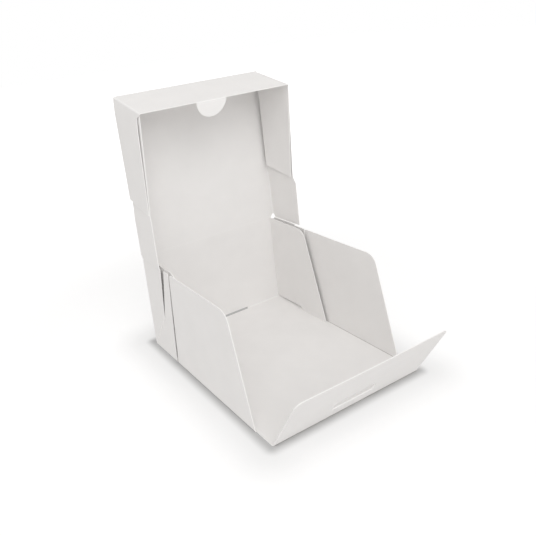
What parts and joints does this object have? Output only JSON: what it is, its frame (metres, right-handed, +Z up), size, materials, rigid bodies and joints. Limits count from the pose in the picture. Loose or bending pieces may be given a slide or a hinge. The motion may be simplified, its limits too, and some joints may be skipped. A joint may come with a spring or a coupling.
{
  "type": "pastry box",
  "caption": "Open pastry box folded from white board, with a hinged cap lid, half-moon tongue, slotted front flap and slanted side flaps.",
  "frame": {"origin": "middle of the floor's underside, on the surface that the box stands on", "axes": "+Z up, -Y towards the front flap, +X towards the right side flap"},
  "size_m": [0.143, 0.2073, 0.2202],
  "materials": {
    "board": "matt white board, uncoated"
  },
  "bodies": {
    "tray": {"tray": "board"},
    "lid": {"lid": "board"},
    "tongue": {"lid_tongue": "board"},
    "front_flap": {"front_flap": "board"},
    "left_flap": {"left_side_flap": "board"},
    "right_flap": {"right_side_flap": "board"}
  },
  "joints": [
    {"name": "lid_crease", "type": "hinge", "parent": "tray", "child": "lid", "pos_m": [0, 0.08657, 0.08369], "axis": [1, 0, 0], "range_deg": [-8, 95]},
    {"name": "tongue_crease", "type": "hinge", "parent": "lid", "child": "tongue", "pos_m": [-0.0085, 0.05144, 0.20988], "axis": [1, 0, 0], "range_deg": [-85, 25]},
    {"name": "front_crease", "type": "hinge", "parent": "tray", "child": "front_flap", "pos_m": [0, -0.0822, 0.0003], "axis": [1, 0, 0], "range_deg": [-66.5, 61.5]},
    {"name": "left_crease", "type": "hinge", "parent": "tray", "child": "left_flap", "pos_m": [-0.0697, -0.01055, 0.0003], "axis": [0, -1, 0], "range_deg": [0, 90]},
    {"name": "right_crease", "type": "hinge", "parent": "tray", "child": "right_flap", "pos_m": [0.0697, -0.01055, 0.0003], "axis": [0, 1, 0], "range_deg": [0, 90]}
  ]
}
